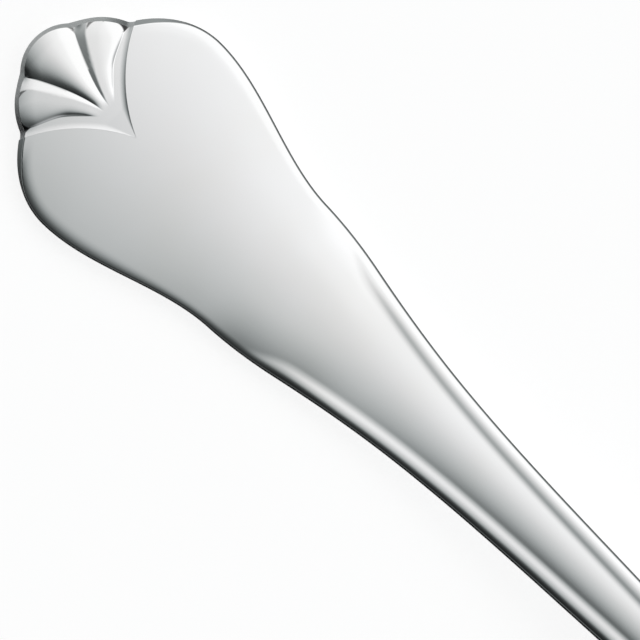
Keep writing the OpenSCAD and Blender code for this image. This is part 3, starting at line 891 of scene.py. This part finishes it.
def silver(name):
    """Polished silver: cloudy and hazy, with hairlines along it, scuffs below, and oxide with painted shade
    in corners.
    """
    material = bpy.data.materials.new(name)
    material.use_nodes = True
    tree = material.node_tree
    shader = tree.nodes["Principled BSDF"]
    shader.inputs["Metallic"].default_value = 1.0
    hairlines = noise(tree, hairline_scale, hairline_detail)
    polish = ranged(tree, noise(tree, haze_scale, haze_detail), (0, 1), polish_range)
    scratched = ranged(tree, hairlines, hairline_range, (0, hairline_roughness))
    place = tree.nodes.new("ShaderNodeTexCoord")
    parts = tree.nodes.new("ShaderNodeSeparateXYZ")
    tree.links.new(place.outputs["Object"], parts.inputs["Vector"])
    touched = ranged(tree, parts.outputs["Z"], (0, scuff_height), (scuff_roughness, 0))
    scuffed = combined(tree, "MULTIPLY", touched, noise(tree, scuff_scale, scuff_detail))
    worn = combined(tree, "ADD", scratched, scuffed)
    tree.links.new(combined(tree, "ADD", polish, worn), shader.inputs["Roughness"])
    relief = tree.nodes.new("ShaderNodeBump")
    relief.inputs["Distance"].default_value = hairline_depth
    tree.links.new(hairlines, relief.inputs["Height"])
    tree.links.new(relief.outputs["Normal"], shader.inputs["Normal"])
    cloudy = ranged(tree, noise(tree, cloud_scale, cloud_detail), cloud_range, (0, 1))
    clouds = mixed(tree, cloudy, silver_colour, dull_colour)
    # Oxide and painted shade in the corners darken the colour towards near black
    stain_and_shade = tree.nodes.new("ShaderNodeAttribute")
    stain_and_shade.attribute_name = "tarnish_and_painted_shade"
    colour = mixed(tree, stain_and_shade.outputs["Fac"], clouds, stain_and_shade_colour)
    tree.links.new(colour, shader.inputs["Base Color"])
    return material


def dress(piece, node, slot):
    """Gives a piece its silver and puts it in the place of a solid."""
    piece.data.materials.append(silver(slot))
    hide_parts(node)
    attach(piece, "root")


# Studio: a pale floor, whose half width is given in metres, under a soft light that is bright on one
# side and dark on the other
floor_half = 2.0
floor_white = 0.78
floor_colour = (0.42, 0.42, 0.42, 1.0)
# Brightness of the studio from its dark side over the zenith to its bright side
studio_light = [
    (-1.0, 0.005),
    (-0.6, 0.012),
    (-0.45, 0.025),
    (-0.35, 0.06),
    (-0.3, 0.13),
    (-0.25, 0.25),
    (-0.2, 0.37),
    (-0.13, 0.5),
    (-0.05, 0.62),
    (0.0, 0.7),
    (0.05, 0.77),
    (0.13, 0.87),
    (0.19, 0.9),
    (0.25, 1.0),
    (1.0, 1.05),
]
# Brightness of the room's walls from the dark to the bright side, low near the horizon and higher up
low_wall_light = [
    (-1.0, 0.01),
    (-0.8, 0.02),
    (-0.55, 0.12),
    (-0.2, 0.2),
    (0.7, 0.3),
    (0.9, 0.1),
    (1.0, 0.1),
]
high_wall_light = [(-1.0, 0.03), (-0.88, 0.03), (-0.7, 0.22), (-0.3, 0.28), (0.3, 0.45), (1.0, 0.65)]
# The bright side lies towards +Y and a little towards +X, less so ahead of the zenith than behind it
front_turn = 0.1
back_turn = 0.27
# The levels are those that the silver shows, and the dark ones are a little cool
silver_level = 0.93
zenith_level = 0.7
cool_share = 0.1
pale_colour = (1.0, 1.0, 1.0, 1.0)
window_colour = (0.45, 0.46, 0.47, 1.0)
# Heights of a direction between which the pale backdrop, the low walls and the high walls pass over
# into what is above them
pale_top = (0.05, 0.1)
low_wall_top = (0.34, 0.5)
high_wall_top = (0.55, 0.8)
# How far towards +X the window in the wall beyond the bowl begins, and where it is full
window_reach = (0.45, 0.8)


def make_floor():
    """Pale paper that the camera and the silver see as white, and that keeps the spoon's shadow."""
    mesh = bpy.data.meshes.new("floor")
    corners = [(-1, -1), (1, -1), (1, 1), (-1, 1)]
    points = [(x * floor_half, y * floor_half, cad_box[0].z) for x, y in corners]
    mesh.from_pydata(points, [], [(0, 1, 2, 3)])
    floor = bpy.data.objects.new("floor", mesh)
    bpy.context.scene.collection.objects.link(floor)
    material = bpy.data.materials.new("floor_paper")
    material.use_nodes = True
    tree = material.node_tree
    tree.nodes.remove(tree.nodes["Principled BSDF"])
    path = tree.nodes.new("ShaderNodeLightPath")
    seen = combined(tree, "MAXIMUM", path.outputs["Is Camera Ray"], path.outputs["Is Glossy Ray"])
    seen = combined(tree, "MAXIMUM", seen, path.outputs["Is Transmission Ray"])
    glow = tree.nodes.new("ShaderNodeEmission")
    tree.links.new(ranged(tree, seen, (0, 1), (0, floor_white)), glow.inputs["Strength"])
    paper = tree.nodes.new("ShaderNodeBsdfDiffuse")
    paper.inputs["Color"].default_value = floor_colour
    both = tree.nodes.new("ShaderNodeAddShader")
    tree.links.new(glow.outputs["Emission"], both.inputs[0])
    tree.links.new(paper.outputs["BSDF"], both.inputs[1])
    tree.links.new(both.outputs["Shader"], tree.nodes["Material Output"].inputs["Surface"])
    mesh.materials.append(material)


def light_ramp(tree, place, levels):
    """Brightness along a direction that runs from -1 to 1."""
    ramp = tree.nodes.new("ShaderNodeValToRGB")
    stops = ramp.color_ramp.elements
    for level in levels[1:-1]:
        stops.new((level[0] + 1) / 2)
    for stop, level in zip(stops, levels):
        stop.position = (level[0] + 1) / 2
        grey = level[1] / silver_level
        warm = grey * (1 - cool_share * max(0, 1 - level[1] / zenith_level))
        stop.color = (warm, grey, grey, 1.0)
    tree.links.new(ranged(tree, place, (-1, 1), (0, 1)), ramp.inputs["Fac"])
    return ramp.outputs["Color"]


def passed(tree, value, reach):
    """Smooth step from 0 to 1 between two values."""
    step = tree.nodes.new("ShaderNodeMapRange")
    step.interpolation_type = "SMOOTHSTEP"
    step.inputs["From Min"].default_value = reach[0]
    step.inputs["From Max"].default_value = reach[1]
    tree.links.new(value, step.inputs["Value"])
    return step.outputs["Result"]


def light_studio():
    """Light from all around: a pale backdrop, low and high walls, a window, and a bright ceiling."""
    world = bpy.data.worlds.new("studio")
    bpy.context.scene.world = world
    world.use_nodes = True
    tree = world.node_tree
    direction = tree.nodes.new("ShaderNodeTexCoord")
    parts = tree.nodes.new("ShaderNodeSeparateXYZ")
    tree.links.new(direction.outputs["Generated"], parts.inputs["Vector"])
    x, y, height = (parts.outputs[name] for name in "XYZ")
    turned = []
    for turn in (front_turn, back_turn):
        aside = ranged(tree, x, (-1, 1), (-turn, turn))
        turned.append(combined(tree, "ADD", y, aside))
    ceiling = light_ramp(tree, combined(tree, "MINIMUM", *turned), studio_light)
    low_walls, high_walls = (light_ramp(tree, y, levels) for levels in (low_wall_light, high_wall_light))
    walls = mixed(tree, passed(tree, height, low_wall_top), low_walls, high_walls)
    room = mixed(tree, passed(tree, height, high_wall_top), walls, ceiling)
    room = mixed(tree, passed(tree, x, window_reach), room, window_colour)
    surroundings = mixed(tree, passed(tree, height, pale_top), pale_colour, room)
    tree.links.new(surroundings, tree.nodes["Background"].inputs["Color"])


# Camera: square above the paddle, with the handle running down to the right
camera_turn = math.radians(44.37)
camera_lens = 300.0
view_width = 52.76
view_middle_at = 33.2
view_middle_y = -0.14


def place_camera():
    data = bpy.data.cameras.new("camera")
    data.lens = camera_lens
    camera = bpy.data.objects.new("camera", data)
    bpy.context.scene.collection.objects.link(camera)
    distance = view_width * camera_lens / data.sensor_width
    middle = (view_middle_at - overall_length / 2, view_middle_y, paddle_thickness + distance)
    camera.location = [value * MM for value in middle]
    camera.rotation_euler = (0, 0, camera_turn)
    bpy.context.scene.camera = camera


dress(make_handle(), "handle", "handle_silver")
dress(make_fan(), "fan_shell", "fan_silver")
dress(make_bowl(), "bowl", "bowl_silver")
dress(make_drop(), "bowl_drop", "drop_silver")
make_floor()
light_studio()
place_camera()
bpy.context.scene.view_settings.view_transform = "Standard"
